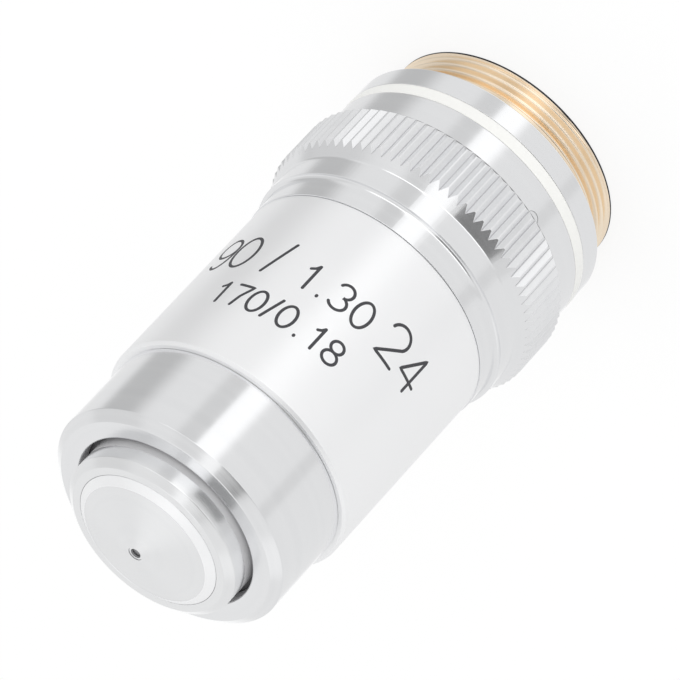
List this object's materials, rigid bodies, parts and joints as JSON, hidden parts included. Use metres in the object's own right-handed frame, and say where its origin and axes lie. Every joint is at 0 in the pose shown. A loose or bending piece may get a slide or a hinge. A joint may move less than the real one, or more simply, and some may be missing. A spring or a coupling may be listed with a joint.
{
  "type": "microscope objective",
  "caption": "Spring-loaded oil immersion microscope objective: brass screw thread, knurled collar, satin barrel and a conical nose that slides back into the front collar.",
  "frame": {"origin": "centre of the rim of the screw thread, on which the objective stands", "axes": "+Z along the optical axis, from the thread to the nose; +X towards the guide screw"},
  "size_m": [0.0242, 0.0242, 0.0485],
  "materials": {
    "thread_brass": "machined",
    "turned_brass": "turned",
    "bright_chrome": "polished",
    "satin_chrome": "satin",
    "ring_enamel": "satin",
    "black_oxide": "matte",
    "spring_steel": "polished",
    "optical_glass": "polished"
  },
  "bodies": {
    "housing": {"thread_mount": "thread_brass", "shoulder_ring": "bright_chrome", "colour_ring": "ring_enamel", "lock_pin": "bright_chrome", "knurled_collar": "bright_chrome", "barrel_sleeve": "satin_chrome", "front_collar": "bright_chrome", "guide_tube": "turned_brass", "guide_screw": "spring_steel", "nose_spring": "spring_steel", "glare_stop": "black_oxide", "height_lock_ring": "black_oxide"},
    "sprung_barrel": {"slide_barrel": "bright_chrome", "front_cell": "satin_chrome", "front_lens": "optical_glass", "meniscus_cell": "black_oxide", "meniscus_lens": "optical_glass", "spacer_front": "black_oxide", "middle_cell": "black_oxide", "middle_crown": "optical_glass", "middle_flint": "optical_glass", "spacer_middle": "black_oxide", "rear_cell": "black_oxide", "rear_crown": "optical_glass", "rear_flint": "optical_glass", "stack_retainer": "black_oxide"}
  },
  "joints": [
    {"name": "nose_slide", "type": "slide", "parent": "housing", "child": "sprung_barrel", "axis": [0, 0, -1], "range_m": [0, 0.002], "stiffness_N_per_m": 400, "springref_m": -0.004, "deforming": ["nose_spring"]}
  ]
}
